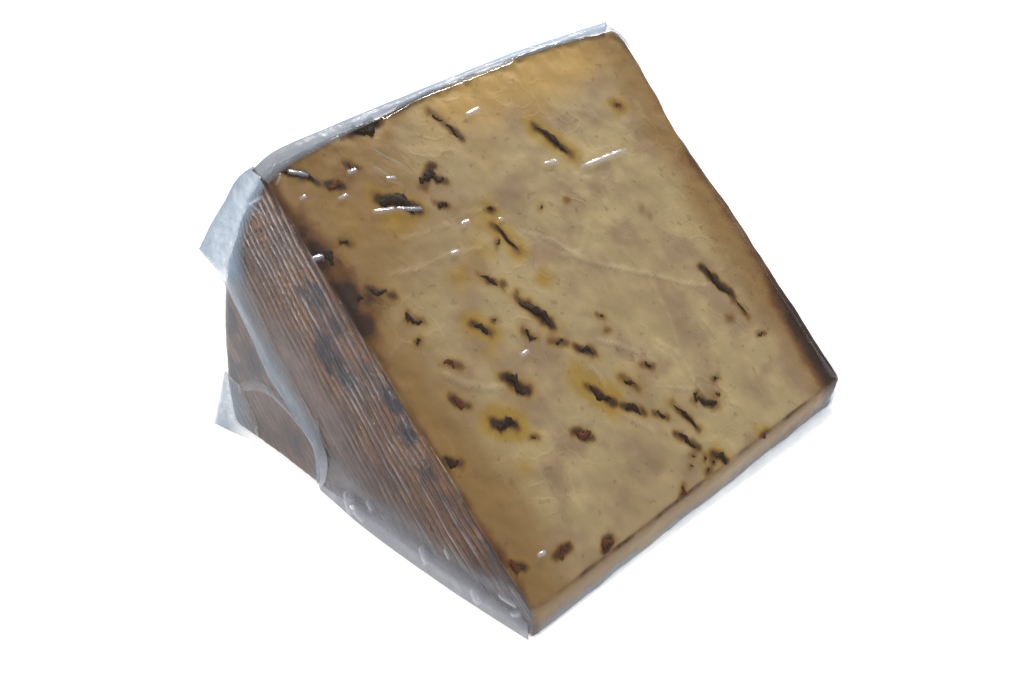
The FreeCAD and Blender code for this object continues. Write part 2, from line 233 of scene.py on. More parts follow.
# small loose folds of the film low on the first flat face: ends (along, height), width, height
FLAT_FOLDS = (
    ((54.0, 6.0), (50.5, 2.0), 4.2, 1.1),
    ((50.5, 3.6), (46.5, 2.8), 3.4, 0.9),
    ((47.5, 7.0), (45.0, 5.5), 2.2, 0.5),
    ((30.0, 5.5), (27.0, 3.0), 3.0, 0.7),
    ((23.5, 8.5), (22.0, 6.5), 1.6, 0.4),
    ((14.5, 4.6), (11.6, 2.4), 3.2, 0.8),
    ((8.0, 6.6), (3.0, 6.8), 1.8, 0.5),
    ((4.0, 4.6), (1.6, 6.0), 1.8, 0.5),
    ((72.0, 70.5), (78.0, 66.0), 1.4, 0.6),
    ((72.5, 66.0), (79.0, 68.0), 1.2, 0.5),
)

# swell of the second flat face, as shares of its far bulge, by distance along from the tip
FAR_STATIONS = (-5, 2, 14, 24, 36, 45, 51, 58, 66, 71, 76)
FAR_BULGE = (1.2, 1.5, 1.65, 1.45, 1.35, 1.05, 0.6, 1.0, 1.7, 1.7, 1.2)

# what ages the paste near its edges, by place up the slope
UP_STATIONS = (-4, 0, 22, 30, 38, 44, 55, 60, 65, 72, 100)
RIGHT_LEVEL = (1.0, 1.0, 0.95, 0.62, 0.85, 0.68, 0.66, 0.95, 0.85, 0.52, 0.42)
RIGHT_START = (97, 97, 98, 99.5, 100.5, 101, 101, 100, 100.5, 102, 103)
LEFT_LEVEL = (0.6, 0.5, 0.55, 0.8, 0.5, 0.45, 0.5, 0.7, 0.95, 0.95, 0.6)
LEFT_WIDTH = (4, 4, 5, 5, 3.5, 4.5, 7, 10, 13, 12, 6)

# grey-blue mould on the ribbed face: place (along, height), radius, strength
MOULD = (
    ((57, 40), 6.0, 1.0), ((52, 36), 4.0, 0.85), ((60, 52), 6.0, 0.60), ((54, 48), 5.0, 0.50),
    ((37, 37), 3.6, 0.75), ((33, 32), 4.0, 0.75), ((94, 33), 6.5, 1.00), ((96, 18), 5.0, 0.90),
    ((86, 24), 8.0, 0.55), ((74, 8), 6.0, 0.50), ((44, 41), 3.6, 0.50),
    ((62, 33), 5.0, 0.35), ((88, 20), 6.0, 0.40), ((28, 24), 5.0, 0.40), ((8, 13), 8.0, 0.42),
    ((20, 20), 7.0, 0.38), ((76, 10), 6.0, 0.35), ((66, 60), 5.0, 0.30), ((82, 5), 4.0, 0.30),
)

# Gathered film. A strip is drawn over rails, each a row of places. Where a place has three numbers
# and no other order is given, it is (across, along, height): across from the first flat face, along
# from the foot of the tip, and up from the table.
EAR_AND_FOLD = (  # inner edge, crest and outer edge, each place (along, height, lift)
    ((71.0, 72.5, 0.4), (72.6, 74.4, 0.6), (74.2, 76.0, 0.3)),
    ((73.8, 68.0, 0.4), (77.2, 70.2, 1.0), (80.2, 71.4, 0.4)),
    ((77.5, 62.5, 0.4), (82.5, 63.8, 1.3), (86.4, 63.8, 0.6)),
    ((80.5, 57.0, 0.4), (87.0, 57.0, 1.5), (92.2, 56.6, 1.0)),
    ((82.0, 52.0, 0.4), (89.0, 51.0, 1.8), (97.0, 49.8, 1.4)),
    ((81.5, 48.5, 0.4), (88.5, 47.3, 1.8), (97.5, 48.2, 1.3)),
    ((80.6, 45.5, 0.4), (86.5, 44.6, 1.5), (92.6, 44.4, 0.7)),
    ((78.5, 39.5, 0.4), (84.0, 39.0, 1.1), (88.4, 38.0, 0.4)),
    ((75.0, 33.5, 0.4), (79.8, 32.5, 0.9), (84.0, 31.4, 0.4)),
    ((70.0, 27.2, 0.4), (74.6, 25.6, 0.8), (78.8, 23.2, 0.4)),
    ((64.5, 21.0, 0.4), (68.0, 19.5, 0.7), (71.8, 17.4, 0.4)),
    ((60.8, 15.5, 0.4), (63.4, 14.0, 0.7), (66.4, 12.2, 0.4)),
    ((60.5, 9.0, 0.4), (62.8, 8.5, 0.9), (65.0, 8.2, 0.4)),
    ((62.5, 2.0, 0.4), (64.0, 1.2, 0.6), (65.4, 1.2, 0.4)),
)
STANDING_FOLD = (
    ((62.8, 20.5, 0.35), (62.4, 20.5, 0.6), (62.1, 20.5, 0.35)),
    ((62.7, 15.0, 0.35), (62.2, 15.0, 0.9), (61.8, 15.0, 0.35)),
    ((63.0, 10.0, 0.35), (62.2, 10.0, 1.5), (60.2, 11.0, 0.35)),
    ((63.0, 5.0, 0.35), (62.4, 5.0, 1.3), (61.2, 5.6, 0.35)),
    ((64.2, 1.0, 0.35), (64.0, 1.0, 1.0), (63.4, 1.0, 0.35)),
)
POCKET_CREASE = ((92, 14), (85, 18), (78, 19), (70, 16), (63, 11))
REAR_SEAM = (  # inner and outer edge, each place (across, up) on the upper cut face
    ((0.5, 96.5), (-0.8, 100.5)), ((7, 98.3), (6, 102.5)), ((18, 99.6), (18, 103.0)),
    ((30, 100.4), (30, 103.3)), ((42, 101.4), (43, 103.5)), ((50, 101.8), (50, 103.6)),
    ((60, 101.9), (60, 103.7)), ((75, 101.8), (75, 103.8)), ((90, 101.0), (90, 103.3)),
    ((103, 99.8), (106.2, 102.6)),
)
SIDE_WEB = (
    ((104, 100.5), (105.8, 102.8)), ((106.4, 96), (109, 96.5)), ((106.8, 90), (108.4, 90)),
    ((106, 82), (107.3, 82)), ((105, 70), (106.6, 70)), ((105, 58), (105.7, 58)),
    ((105, 45), (106.6, 45)), ((105, 30), (105.8, 30)), ((104.8, 12), (106.2, 10)),
    ((104.2, 1), (107.5, -1)),
)
FOOT_EAR = (  # upper edge, middle and front edge
    ((1.6, 99.6, 16.0), (0.0, 97.6, 15.5), (-0.5, 91.6, 15.0)),
    ((0.4, 100.4, 11.5), (-0.9, 97.2, 11.0), (-0.6, 88.0, 10.5)),
    ((-1.2, 101.0, 7.0), (-1.6, 97.0, 6.5), (-0.7, 86.0, 6.0)),
    ((-4.0, 101.2, 1.4), (-3.0, 96.4, 1.2), (-0.9, 87.0, 1.0)),
)
FRONT_HEM = (  # edge against the tip and edge on the table, each place (across, along, height)
    ((1.5, -0.5, 3.8), (1.5, -0.9, 0.1)), ((12, -0.5, 3.2), (12, -1.1, 0.1)),
    ((30, -0.5, 2.6), (30, -1.5, 0.1)), ((52, -0.5, 2.2), (52, -2.1, 0.1)),
    ((75, -0.5, 2.0), (75, -2.9, 0.1)), ((92, -0.5, 2.0), (92, -3.5, 0.1)),
    ((101, -0.5, 2.4), (101, -3.3, 0.1)), ((105.2, -0.3, 5.0), (107.4, -1.4, 0.1)),
)
SIDE_HEM = (  # edge against the first flat face and edge on the table
    ((-0.5, 0.2, 4.2), (-0.7, -0.2, 0.1)), ((-0.5, 8, 5.0), (-1.3, 8, 0.1)),
    ((-0.5, 20, 6.0), (-1.9, 20, 0.1)), ((-0.5, 36, 6.4), (-2.2, 36, 0.1)),
    ((-0.5, 50, 5.6), (-1.9, 50, 0.1)), ((-0.5, 58, 4.0), (-1.2, 58, 0.1)),
    ((-0.5, 64, 2.0), (-0.7, 64, 0.1)),
)

# how strongly the ridges of each table show: opacity and tone; a tone above 1 paints them pale as a
# painted highlight
GLINT_LOOKS = (0.55, 1.6)
WRINKLE_LOOKS = (0.30, 1.3)
FLAT_FOLD_LOOKS = (0.36, 1.9)

# ---- stage ----

LIGHTS = (  # name, direction from the cheese, side of the square, radiance
    ("window", (0.6, 0.33, 0.73), 0.36, 58),
    ("side_window", (-0.87, -0.22, 0.33), 0.26, 12),
)
LIGHT_AIM, LIGHT_DISTANCE = (0, 0, 0.035), 1.15
SKY_COLOUR, SKY_STRENGTH = (0.94, 0.97, 1.0, 1.0), 0.34
FLOOR_SIZE, FLOOR_DROP = 3.0, 0.0002
CAMERA_PLACE = (-0.1776, -0.1692, 0.1850)
CAMERA_TURNS = ((-45.4, "Z"), (90 - 33.78, "X"), (-0.513, "Z"))  # heading, tilt and roll
LENS, SENSOR = 44.7, 36.0


# ---- properties ----


def length_property(name, description, default):
    """Length of the cheese or film, in metres."""
    return bpy.props.FloatProperty(
        name=name, description=description, default=default, subtype="DISTANCE", unit="LENGTH",
        precision=5,
    )


def colour_property(name, description, default):
    """Colour that a user may change."""
    return bpy.props.FloatVectorProperty(
        name=name, description=description, default=default, subtype="COLOR", size=3, min=0, max=1
    )


class CheeseSizes(bpy.types.PropertyGroup):
    """Sizes of the cheese and its film"""

    wheel_radius: length_property("Wheel radius", "From the wheel's axis to its rind", 0.1004)
    wheel_height: length_property("Wheel height", "From one flat face to the other", 0.105)
    tip_thickness: length_property("Tip thickness", "Height of the upright tip", 0.0074)
    wedge_angle: bpy.props.FloatProperty(
        name="Wedge angle", description="Slope of the upper cut face",
        default=math.radians(42.7), subtype="ANGLE", unit="ROTATION",
    )
    rind_bulge: length_property("Rind bulge", "Swell of the rind at its middle", 0.0012)
    far_bulge: length_property("Far bulge", "Swell of the second flat face near the tip", 0.0018)
    tip_bulge: length_property("Tip bulge", "How far the tip swells forward", 0.0007)
    near_shoulder: length_property("Near shoulder", "Round of the first rind edge", 0.005)
    far_shoulder: length_property("Far shoulder", "Round of the second rind edge", 0.002)
    cut_rim: length_property("Cut rim", "Softened rim of the cut faces", 0.001)
    rib_pitch: length_property("Rib pitch", "From one board groove to the next", 0.0024)
    rib_depth: length_property("Rib depth", "Depth of the board grooves", 0.0006)
    film_gap: length_property("Film gap", "From the cheese to the film", 0.0003)
    film_thickness: length_property("Film thickness", "Thickness of a gathered fold", 0.00012)


class CheeseColours(bpy.types.PropertyGroup):
    """Colours of the cheese and its film"""

    paste: colour_property("Paste", "Middle of the cut face", (0.365, 0.262, 0.132))
    paste_pale: colour_property("Pale paste", "Palest curd", (0.46, 0.35, 0.175))
    paste_pink: colour_property("Pink paste", "Duller, pinker curd", (0.30, 0.20, 0.115))
    curd_seam: colour_property("Curd seam", "Pale seams between curds", (0.54, 0.43, 0.27))
    golden: colour_property("Golden paste", "Paste below the rear rim", (0.47, 0.295, 0.095))
    ochre: colour_property("Ochre", "Paste near the first flat face", (0.265, 0.155, 0.052))
    rim_orange: colour_property("Rim orange", "Outer part of the dried rim", (0.155, 0.066, 0.020))
    rim_brown: colour_property("Rim brown", "Dried rim of the cut face", (0.040, 0.020, 0.012))
    stain: colour_property("Stain", "Brown stain round the herbs", (0.040, 0.019, 0.009))
    stain_edge: colour_property("Stain edge", "Soft edge of a stain", (0.18, 0.088, 0.021))
    halo: colour_property("Halo", "Yellow that the herbs give off", (0.36, 0.215, 0.028))
    rib: colour_property("Rib", "Ridges of the rind", (0.28, 0.118, 0.036))
    rib_dark: colour_property("Dark rib", "Darker ridges of the rind", (0.105, 0.048, 0.026))
    # The groove colour is darker than the ribs partly as painted shade in the recesses of the
    # grooves
    groove: colour_property("Groove", "Floors of the board grooves", (0.062, 0.040, 0.035))
    rind: colour_property("Rind", "Rind away from the ribs", (0.145, 0.092, 0.072))
    # bloom_and_highlight: pale bloom on the rind, and on the rib crests also a painted highlight of
    # the film
    bloom_and_highlight: colour_property("Bloom", "Pale bloom on the rind", (0.50, 0.47, 0.50))
    mould: colour_property("Mould", "Grey-blue mould", (0.018, 0.019, 0.030))
    herb: colour_property("Herb", "Dried leaf", (0.027, 0.014, 0.0065))
    herb_pale: colour_property("Pale herb", "Paler parts of the leaf", (0.065, 0.034, 0.015))
    red_bit: colour_property("Red bit", "Red-brown bits", (0.11, 0.034, 0.009))
    film: colour_property("Film", "Milky tint of gathered film", (0.37, 0.50, 0.64))
    film_grey: colour_property("Grey film", "Tint of flattened film", (0.255, 0.26, 0.285))
    # painted_film_highlight: pale colour painted on film as a highlight where it catches the light
    painted_film_highlight: colour_property("Bright film", "Film caught by the light", (0.85, 0.85, 0.95))


# ---- form of the wedge ----


def rounded(a, b, radius):
    """Distance to the body common to two others, with its edge rounded."""
    outside = np.hypot(np.maximum(a + radius, 0), np.maximum(b + radius, 0))
    return np.minimum(np.maximum(a, b), -radius) + outside


def fade(value, start, end):
    """0 at start and 1 at end, with a soft step between them."""
    t = np.clip((value - start) / (end - start), 0, 1)
    return t * t * (3 - 2 * t)


def noise_at(points, scale, seed=0.0, octaves=1):
    """Smooth noise, about -1 to 1, at an array of points. Its lumps are about scale across."""
    shift = Vector((seed * 3.7, seed * 5.1, seed * 7.3))
    sample = (
        (lambda p: noise.fractal(p, 1.0, 2.0, octaves)) if octaves > 1 else noise.noise
    )
    return np.array([sample(Vector(p) / scale + shift) for p in points])


def slow_swell(points):
    """Slow swell of the cheese and its film, in mm."""
    return SWELL * noise_at(points, SWELL_SIZE * MM, 1)


class Wedge:
    """Form of the cheese, in metres, from the sizes."""

    def __init__(self, sizes):
        self.sizes = sizes
        self.half = sizes.wheel_height / 2
        self.radius = sizes.wheel_radius
        self.tip = sizes.tip_thickness
        self.slope = sizes.wedge_angle
        self.length = math.sqrt(self.radius**2 - self.tip**2)
        self.sin, self.cos = math.sin(self.slope), math.cos(self.slope)

    def on_cut(self, across, up, lift=0.0):
        """Point on the upper cut face, from its place and a lift in mm."""
        return Vector((
            across * MM - self.half,
            up * MM * self.cos - lift * MM * self.sin - self.length / 2,
            self.tip + up * MM * self.sin + lift * MM * self.cos,
        ))

    def on_flat(self, along, height, lift=0.0):
        """Point on the first flat face, from its place and a lift in mm."""
        return Vector((-self.half - lift * MM, along * MM - self.length / 2, height * MM))

    def place(self, across, along, height):
        """Point from its place in mm, across, along and up from the foot of the tip."""
        return Vector((across * MM - self.half, along * MM - self.length / 2, height * MM))

    def skin_lift(self, across, up):
        """How far the film lies above the upper cut face at a place, in mm."""
        swell = FILM_SLACK + slow_swell([self.on_cut(across, up)])[0]
        return self.sizes.film_gap / MM + swell

    def cut_places(self, points):
        """Across, up and lift of points, in mm."""
        y, z = points[:, 1] + self.length / 2, points[:, 2] - self.tip
        across = points[:, 0] + self.half
        return across / MM, (y * self.cos + z * self.sin) / MM, (z * self.cos - y * self.sin) / MM

    def far_swell(self, points):
        """How far the second flat face stands out of its plane at each point."""
        share = np.interp((points[:, 1] + self.length / 2) / MM, FAR_STATIONS, FAR_BULGE)
        return self.sizes.far_bulge * share * fade(points[:, 2] / MM, 0.5, 7.0)

    def distance(self, points):
        """Distance from the smooth cheese, below zero inside."""
        sizes = self.sizes
        x, y, z = points[:, 0], points[:, 1] + self.length / 2, points[:, 2]
        bulge = sizes.rind_bulge * (1 - (x / self.half) ** 2)
        rind = np.hypot(y, z - self.tip) - self.radius - bulge
        wheel = rounded(rind, -x - self.half, sizes.near_shoulder)
        wheel = rounded(wheel, x - self.half - self.far_swell(points), sizes.far_shoulder)
        upper = (z - self.tip) * self.cos - y * self.sin
        knife = rounded(rounded(upper, -z, sizes.cut_rim), -y - sizes.tip_bulge, sizes.cut_rim)
        near_rind = fade(y * self.cos + z * self.sin, 0.03, 0.09) * fade(x, -0.02, -0.05)
        return rounded(wheel, knife, sizes.cut_rim * (1 + 1.5 * near_rind))

    def slopes(self, points):
        """Outward direction at each point."""
        step = 0.02 * MM
        found = np.zeros_like(points)
        for axis in range(3):
            shift = np.zeros(3)
            shift[axis] = step
            found[:, axis] = self.distance(points + shift) - self.distance(points - shift)
        return found / np.maximum(np.linalg.norm(found, axis=1), 1e-12)[:, None]

    def settle(self, points, level):
        """Moves points along their outward directions to a distance from the smooth cheese."""
        points[:, 0] += self.far_swell(points) * fade(points[:, 0], 0.5 * self.half, self.half)
        for _ in range(SETTLE_STEPS):
            points = points - self.slopes(points) * (self.distance(points) - level)[:, None]
        return points

    def crown(self, across, up, lift, ragged):
        """Shift of each point where the rear edge of the upper cut face stands out."""
        middle = fade(across, 28, 45) * (1 - fade(across, 84, 104))
        shift = fade(up, 94, 101) * fade(lift, -7, -1) * (1.6 * middle + 0.45 * ragged) * MM
        return shift[:, None] * np.array((0, self.cos, self.sin))

    def rib_turns(self, points):
        """How many ribs lie between the upper cut face and each point of a flat face."""
        y, z = points[:, 1] + self.length / 2, points[:, 2]
        below = (self.tip - z) * self.cos + y * self.sin
        return (below + 1.9 * y * y) / self.sizes.rib_pitch


def wedge_grid(form, counts):
    """Bmesh of a cube cut into a grid and bent into the sharp wedge.

    Its faces have material 0 on the paste and 1 on the rind.
    """
    mesh = bmesh.new()
    bmesh.ops.create_cube(mesh, size=1.0)
    bmesh.ops.translate(mesh, verts=mesh.verts, vec=(0.5, 0.5, 0.5))
    for face in mesh.faces:
        middle = face.calc_center_median()
        on_rind = abs(face.normal.x) > 0.5 or middle.y > 0.9
        face.material_index = 1 if on_rind else 0
        face.smooth = True
    for axis, count in enumerate(counts):
        edges = [e for e in mesh.edges if abs(e.verts[0].co[axis] - e.verts[1].co[axis]) > 0.5]
        bmesh.ops.subdivide_edges(mesh, edges=edges, cuts=count, use_grid_fill=True)
    low = -math.asin(form.tip / form.radius)
    for vert in mesh.verts:
        across, along, turn = vert.co
        angle = low + turn * (form.slope - low)
        root = Vector((0, form.tip * turn))
        rind = Vector((form.radius * math.cos(angle), form.tip + form.radius * math.sin(angle)))
        place = root.lerp(rind, along)
        vert.co = ((across - 0.5) * 2 * form.half, place.x - form.length / 2, place.y)
    return mesh


def to_array(mesh):
    """Places of a mesh's vertices as an array."""
    found = np.zeros(len(mesh.vertices) * 3)
    mesh.vertices.foreach_get("co", found)
    return found.reshape(-1, 3)


def from_array(mesh, points):
    """Moves a mesh's vertices to an array of places."""
    mesh.vertices.foreach_set("co", points.astype(np.float32).ravel())
    mesh.update()


def add_mask(mesh, name, values):
    """Stores one number for each vertex, for the materials to read."""
    attribute = mesh.attributes.new(name, "FLOAT", "POINT")
    attribute.data.foreach_set("value", np.asarray(values, np.float32))


def finish_piece(name, mesh, materials, replaces=False):
    """Makes the object of a finished mesh and hands it to the frame."""
    piece = bpy.data.objects.new(name, mesh)
    bpy.context.scene.collection.objects.link(piece)
    for material in materials:
        mesh.materials.append(material)
    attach(piece, "root")
    if replaces:
        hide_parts(NODE)


def mesh_of(name, build):
    """Mesh of a bmesh, which is freed."""
    mesh = bpy.data.meshes.new(name)
    build.to_mesh(mesh)
    build.free()
    return mesh


class Surface:
    """Smooth points of a mesh round the wedge, and where each of them lies."""

    def __init__(self, form, mesh, level):
        self.form = form
        self.points = form.settle(to_array(mesh), level)
        self.outward = form.slopes(self.points)
        self.across, self.up, self.lift = form.cut_places(self.points)
        self.along = (self.points[:, 1] + form.length / 2) / MM
        self.height = self.points[:, 2] / MM
        facing = self.outward[:, 2] * form.cos - self.outward[:, 1] * form.sin
        self.on_upper, self.near_upper = fade(facing, 0.8, 0.97), fade(facing, 0.0, 0.35)
        self.on_flat = fade(np.abs(self.outward[:, 0]), 0.55, 0.9)
        self.turns = form.rib_turns(self.points) + 0.25 * self.noise(12, 3)
        plain = fade(6 * self.noise(14, 8, 2) - self.lift, 19, 30)
        self.ribbed = self.on_flat * (1 - 0.8 * plain)

    def noise(self, size, seed, octaves=1):
        """Smooth noise at the points, with lumps about size mm across."""
        return noise_at(self.points, size * MM, seed, octaves)

    def empty(self):
        return np.zeros(len(self.points))

    def raised(self, relief, rib_share, ragged, lowest):
        """Points raised by a relief in mm and by the ribs, and none of them below a height."""
        ribs = self.ribbed * (np.cos(2 * np.pi * self.turns) - 1)
        relief = relief + ribs * rib_share * self.form.sizes.rib_depth / MM
        points = self.points + self.outward * (relief * MM)[:, None]
        points += self.form.crown(self.across, self.up, self.lift, ragged)
        points[:, 2] = np.maximum(points[:, 2], lowest)
        return points


# ---- shader maths ----


class Wire:
    """Output of a node. Arithmetic on it adds Math nodes."""

    def __init__(self, finish, socket):
        self.finish = finish
        self.socket = socket

    def math(self, operation, *values):
        """Adds a Math node."""
        return self.finish.node("ShaderNodeMath", {"operation": operation}, dict(enumerate(values)))

    def __add__(self, other):
        return self.math("ADD", self, other)

    def __mul__(self, other):
        return self.math("MULTIPLY", self, other)

    def __sub__(self, other):
        return self.math("SUBTRACT", self, other)

    def __rsub__(self, other):
        return self.math("SUBTRACT", other, self)

    def __truediv__(self, other):
        return self.math("DIVIDE", self, other)

    __radd__ = __add__
    __rmul__ = __mul__

    def least(self, other):
        return self.math("MINIMUM", self, other)

    def most(self, other):
        return self.math("MAXIMUM", self, other)

    def power(self, other):
        return self.math("POWER", self, other)

    def wave(self):
        """0 to 1 and back, once each turn."""
        return self.math("COSINE", self * (2 * math.pi)) * 0.5 + 0.5

    def step(self, start, end):
        """0 at start and 1 at end, with a soft step between them."""
        return self.finish.node(
            "ShaderNodeMapRange",
            {"interpolation_type": "SMOOTHSTEP"},
            {"Value": self, "From Min": start, "From Max": end},
        )


class Finish:
    """One material and the nodes in it."""

    def __init__(self, name):
        self.material = bpy.data.materials.new(name)
        self.material.use_nodes = True
        self.tree = self.material.node_tree
        self.tree.nodes.clear()

    def node(self, kind, settings=None, values=None, output=0):
        """Adds a node: its settings first, then the values or links of its sockets."""
        node = self.tree.nodes.new(kind)
        for name, value in (settings or {}).items():
            setattr(node, name, value)
        for name, value in (values or {}).items():
            if isinstance(name, int):
                socket = node.inputs[name]
            else:
                socket = next(s for s in node.inputs if s.name == name and s.enabled)
            if isinstance(value, Wire):
                self.tree.links.new(value.socket, socket)
            elif value is not None:
                socket.default_value = value
        shown = [s for s in node.outputs if s.enabled]
        if isinstance(output, str):
            return Wire(self, next(s for s in shown if s.name == output))
        return Wire(self, shown[output]) if shown else None

    def place(self):
        """Object coordinates, in metres."""
        return self.node("ShaderNodeTexCoord", output="Object")

    def axes(self, place):
        """Its x, y and z."""
        return [self.node("ShaderNodeSeparateXYZ", {}, {0: place}, axis) for axis in "XYZ"]

    def join(self, x, y, z):
        """Vector of three numbers."""
        return self.node("ShaderNodeCombineXYZ", {}, {0: x, 1: y, 2: z})

    def mask(self, name):
        """Number stored at each place of the mesh."""
        return self.node("ShaderNodeAttribute", {"attribute_name": name}, {}, "Fac")

    def noise(self, place, size, detail=2.0, roughness=0.5, distortion=0.0):
        """Noise from 0 to 1 whose lumps are about size metres across."""
        return self.node(
            "ShaderNodeTexNoise", {},
            {
                "Vector": place, "Scale": 1 / size, "Detail": detail, "Roughness": roughness,
                "Distortion": distortion,
            },
            "Fac",
        )

    def mix(self, factor, first, second, blend="MIX"):
        """Colour between two colours."""
        first, second = (
            value if isinstance(value, Wire) else (*value, 1.0) for value in (first, second)
        )
        return self.node(
            "ShaderNodeMix", {"data_type": "RGBA", "blend_type": blend},
            {"Factor": factor, "A": first, "B": second},
        )

    def shaded(self, colour, grain):
        """Colour made darker or lighter by a grain round 1."""
        return self.mix(1.0, colour, self.join(grain, grain, grain), "MULTIPLY")

    def bump(self, height, distance, strength):
        """Small relief on top of the mesh."""
        return self.node(
            "ShaderNodeBump", {}, {"Height": height, "Distance": distance, "Strength": strength}
        )

    def principled(self, **values):
        """Plain surface. Its sockets are named with _ in place of spaces."""
        named = {name.replace("_", " "): value for name, value in values.items()}
        colour = named.get("Base Color")
        if colour is not None and not isinstance(colour, Wire):
            named["Base Color"] = (*colour, 1.0)
        return self.node("ShaderNodeBsdfPrincipled", {}, named)

    def blend(self, factor, first, second):
        """Shader between two shaders."""
        return self.node("ShaderNodeMixShader", {}, {0: factor, 1: first, 2: second})

    def show(self, shader):
        """Joins a shader to the output and gives the material."""
        self.node("ShaderNodeOutputMaterial", {}, {"Surface": shader})
        return self.material


def paste_finish(colours):
    """Cut paste: pale and ochre curd with stains, halos and dried rims, and a thin painted shade
    along the edge above the tip.
    """
    finish = Finish("paste")
    place = finish.place()
    broad = finish.noise(place, 0.022, 3.0)
    curd = finish.noise(place, 0.0045, 4.0, 0.6)
    fine = finish.noise(place, 0.0011, 3.0, 0.6)
    specks = finish.noise(place, 0.0019, 1.0, 0.5)
    patch = finish.noise(place, 0.010, 2.0)
    colour = finish.mix(broad.step(0.30, 0.72), colours.paste, colours.paste_pale)
    colour = finish.mix(patch.step(0.42, 0.68) * 0.85, colour, colours.paste_pink)
    golden = (finish.mask("golden") * 1.1 + (broad - 0.5) * 0.6).step(0.0, 1.0)
    colour = finish.mix(golden, colour, colours.golden)
    ochre = finish.mask("ochre") + (curd - 0.5) * 0.45 + (broad - 0.5) * 0.5
    colour = finish.mix(ochre.step(0.0, 1.0), colour, colours.ochre)
    halo = (finish.mask("halo") * 1.1 + (curd - 0.5) * 0.5 * finish.mask("halo")).step(0.0, 1.0)
    colour = finish.mix(halo * 0.9, colour, colours.halo)
    colour = finish.mix(specks.step(0.66, 0.74) * 0.30, colour, colours.rim_orange)
    wander = finish.node("ShaderNodeTexNoise", {}, {"Vector": place, "Scale": 160.0}, "Color")
    wander = finish.node(
        "ShaderNodeVectorMath", {"operation": "SCALE"}, {0: wander, "Scale": 0.008}
    )
    moved = finish.node("ShaderNodeVectorMath", {"operation": "ADD"}, {0: place, 1: wander})
    cells = finish.node(
        "ShaderNodeTexVoronoi", {"feature": "DISTANCE_TO_EDGE"}, {"Vector": moved, "Scale": 120.0},
        "Distance",
    )
    network = (1.0 - cells.step(0.0, 0.08)) * broad.step(0.45, 0.62)
    seams = (finish.mask("seam") * (curd + 0.4) + network * 0.22).least(1.0)
    colour = finish.mix(seams * 0.34, colour, colours.curd_seam)
    stain = finish.mask("stain")
    stain = stain + ((curd - 0.5) * 0.7 + (fine - 0.5) * 0.4) * stain.least(0.5)
    colour = finish.mix(stain.step(0.0, 0.60) * 0.85, colour, colours.stain_edge)
    colour = finish.mix(stain.step(0.38, 0.92) * 0.96, colour, colours.stain)
    # The rim mask also holds the painted shade along the edge above the tip
    rim = finish.mask("rim") + (curd - 0.5) * 0.5 + (fine - 0.5) * 0.3
    colour = finish.mix(rim.step(0.08, 0.55) * 0.9, colour, colours.rim_orange)
    colour = finish.mix(rim.step(0.38, 0.90) * 0.95, colour, colours.rim_brown)
    colour = finish.shaded(colour, (fine - 0.5) * 0.10 + (curd - 0.5) * 0.22 + 1.0)
    soft = finish.noise(place, 0.006, 1.0)
    normal = finish.bump(soft * 0.9 + fine * 0.1 + seams * 0.35, 0.0008, 0.6)
    return finish.show(finish.principled(
        Base_Color=colour, Roughness=0.5, Specular_IOR_Level=0.2, Normal=normal,
    ))


def rind_finish(colours, form):
    """Ribbed rind: brown ridges, grooves darkened partly as painted shade, pale streaks of bloom
    with a painted film highlight on the crests, and patches of mould.
    """
    finish = Finish("rind")
    place = finish.place()
    x, y, _ = finish.axes(place)
    turns = finish.mask("turns")
    rows = finish.join(x, turns * ROW_SIZE, (y + form.length / 2) * 0.06)
    streaks = finish.noise(rows, 0.0007, 3.0, 0.6)
    lines = finish.noise(rows, 0.0011, 2.0, 0.7)
    patches = finish.noise(place, 0.012, 4.0, 0.6)
    fine = finish.noise(place, 0.0012, 4.0, 0.65)
    mid = finish.noise(place, 0.0045, 3.0, 0.6)
    wave = turns.wave()
    ridge = (wave + (streaks - 0.5) * 1.0).step(0.15, 0.75)
    brown = finish.mix(patches.step(0.35, 0.65), colours.rib_dark, colours.rib)
    # Grooves get the groove colour, which holds painted shade in the recesses
    colour = finish.mix(ridge, colours.groove, brown)
    plain = finish.mix((mid + (patches - 0.5) * 0.6).step(0.3, 0.7), colours.rind, colours.rib_dark)
    ribbed = finish.mask("ribbed")
    colour = finish.mix(ribbed, plain, colour)
    # Pale lines on the rib crests: partly pale bloom, partly a painted highlight of the film on the
    # crests
    pale = (wave + (streaks - 0.5) * 1.0).step(0.68, 1.0) * lines.step(0.40, 0.62)
    colour = finish.mix(pale * (ribbed * 0.8 + 0.1) * 0.52, colour, colours.bloom_and_highlight)
    slow = finish.noise(place, 0.021, 2.0)
    shade = (patches * 0.5 + slow * 0.6 + (mid - 0.5) * 0.5).step(0.48, 0.74)
    colour = finish.mix(shade * 0.55, colour, colours.groove)
    mould = finish.mask("mould") + (patches - 0.5) * 1.3 + (mid - 0.5) * 0.6
    mould = mould + (fine - 0.5) * 0.5 + (streaks - 0.5) * 0.6
    colour = finish.mix(mould.step(0.20, 0.75) * 0.85, colour, colours.mould)
    colour = finish.shaded(colour, (fine - 0.5) * 0.4 + (streaks - 0.5) * 0.3 + 1.0)
    normal = finish.bump(fine * 0.4 + streaks * ribbed * 0.6 + mid * 0.5, 0.0007, 0.8)
    return finish.show(finish.principled(
        Base_Color=colour, Roughness=0.6, Specular_IOR_Level=0.3, Normal=normal,
    ))


def herb_finish(name, dark, light):
    """Dried leaf or bit, dark with lighter veins."""
    finish = Finish(name)
    place = finish.place()
    mottle = finish.noise(place, 0.0012, 4.0, 0.6)
    colour = finish.mix(mottle.step(0.45, 0.78), dark, light)
    normal = finish.bump(mottle, 0.0003, 0.6)
    return finish.show(finish.principled(
        Base_Color=colour, Roughness=0.6, Specular_IOR_Level=0.1, Normal=normal,
    ))


